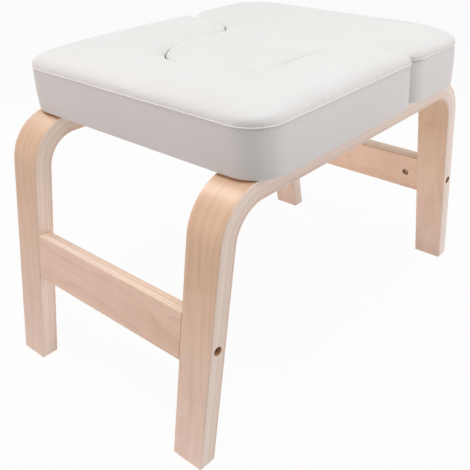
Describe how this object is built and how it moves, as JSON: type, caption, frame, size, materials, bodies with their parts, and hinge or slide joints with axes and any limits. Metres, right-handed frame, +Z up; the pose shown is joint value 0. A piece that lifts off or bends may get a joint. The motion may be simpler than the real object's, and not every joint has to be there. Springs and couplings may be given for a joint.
{
  "type": "yoga headstand stool",
  "caption": "Low bent-plywood stool with a padded horseshoe shoulder rest and a lift-out padded insert that fills its neck opening.",
  "frame": {"origin": "on the floor, under the middle of the stool's bounding box", "axes": "+Z up, Y along the stool's length with the horseshoe pad at -Y and the insert's cross pad at +Y, X from the left side frame to the right one"},
  "size_m": [0.3848, 0.602, 0.3885],
  "materials": {
    "bent_birch": "satin lacquered birch veneer, laminated edges showing",
    "birch_rail": "satin lacquered birch plywood",
    "raw_ply": "raw plywood",
    "white_leather": "fine-grained white synthetic leather, low sheen",
    "white_piping": "smooth white synthetic leather cord",
    "foam": "open-cell polyurethane foam",
    "zinc_steel": "bright zinc plating",
    "dark_steel": "dark bronze coating",
    "beech": "fluted beech dowel, raw"
  },
  "bodies": {
    "stool": {"side_frame_left": "bent_birch", "side_frame_right": "bent_birch", "near_rail": "birch_rail", "far_rail": "birch_rail", "rail_bolt_near_left": "dark_steel", "barrel_nut_near_left": "dark_steel", "rail_dowel_near_left_lower": "beech", "rail_dowel_near_left_upper": "beech", "rail_bolt_near_right": "dark_steel", "barrel_nut_near_right": "dark_steel", "rail_dowel_near_right_lower": "beech", "rail_dowel_near_right_upper": "beech", "rail_bolt_far_left": "dark_steel", "barrel_nut_far_left": "dark_steel", "rail_dowel_far_left_lower": "beech", "rail_dowel_far_left_upper": "beech", "rail_bolt_far_right": "dark_steel", "barrel_nut_far_right": "dark_steel", "rail_dowel_far_right_lower": "beech", "rail_dowel_far_right_upper": "beech", "pad_bolt_left_near": "zinc_steel", "pad_washer_left_near": "zinc_steel", "tee_nut_left_near": "zinc_steel", "pad_bolt_left_mid": "zinc_steel", "pad_washer_left_mid": "zinc_steel", "tee_nut_left_mid": "zinc_steel", "pad_bolt_right_near": "zinc_steel", "pad_washer_right_near": "zinc_steel", "tee_nut_right_near": "zinc_steel", "pad_bolt_right_mid": "zinc_steel", "pad_washer_right_mid": "zinc_steel", "tee_nut_right_mid": "zinc_steel", "shoulder_pad_board": "raw_ply", "shoulder_pad_foam": "foam", "shoulder_pad_cover": "white_leather", "shoulder_pad_piping": "white_piping"},
    "insert_pad": {"insert_pad_board": "raw_ply", "insert_pad_foam": "foam", "insert_pad_cover": "white_leather", "insert_pad_piping": "white_piping", "insert_peg_left": "beech", "insert_peg_right": "beech"}
  },
  "joints": [
    {"name": "insert_lift", "type": "slide", "parent": "stool", "child": "insert_pad", "axis": [0, 0, 1], "range_m": [0, 0.12]}
  ]
}
